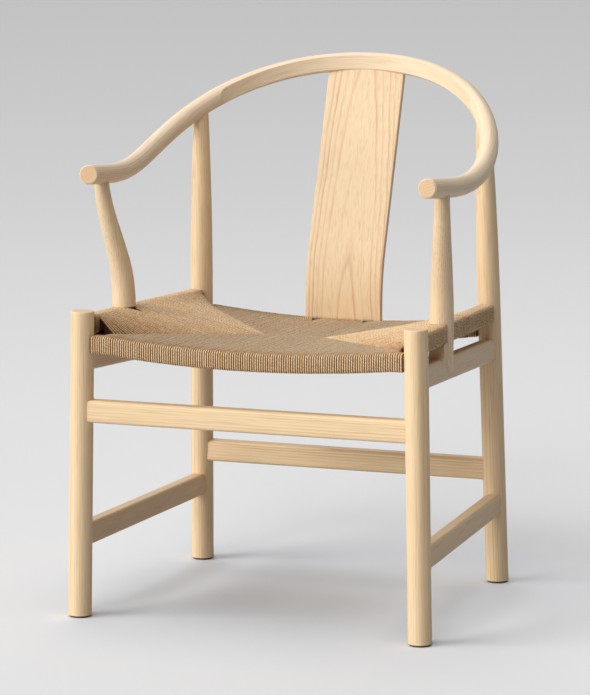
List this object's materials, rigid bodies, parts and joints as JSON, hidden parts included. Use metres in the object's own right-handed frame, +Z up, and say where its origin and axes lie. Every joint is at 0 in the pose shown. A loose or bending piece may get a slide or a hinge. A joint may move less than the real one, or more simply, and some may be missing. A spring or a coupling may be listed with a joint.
{
  "type": "horseshoe back armchair",
  "caption": "Armchair with a continuous horseshoe bow as back and arms, thin splat, round legs, curved arm posts and a woven paper cord seat.",
  "frame": {"origin": "on the floor, under the middle of the overall width and depth", "axes": "+Z up; the sitter looks along -Y; +X is the right-hand side as seen from the front"},
  "size_m": [0.5666, 0.5594, 0.8],
  "materials": {
    "wood": "matt lacquered pale ash",
    "paper_cord": "twisted natural paper cord, matt",
    "card": "grey-brown card, matt",
    "tack_steel": "plain steel",
    "glide_plastic": "dark matt plastic"
  },
  "bodies": {
    "root": {"bow": "wood", "splat": "wood", "front_stretcher": "wood", "back_stretcher": "wood", "front_seat_rail": "wood", "back_seat_rail": "wood", "arm_post_left": "wood", "front_leg_left": "wood", "back_leg_left": "wood", "side_seat_rail_left": "wood", "side_apron_left": "wood", "side_stretcher_left": "wood", "arm_post_right": "wood", "front_leg_right": "wood", "back_leg_right": "wood", "side_seat_rail_right": "wood", "side_apron_right": "wood", "side_stretcher_right": "wood", "seat_weave": "paper_cord", "card_packing": "card", "cord_tacks": "tack_steel", "glide_front_left": "glide_plastic", "glide_front_right": "glide_plastic", "glide_back_left": "glide_plastic", "glide_back_right": "glide_plastic"}
  },
  "joints": []
}
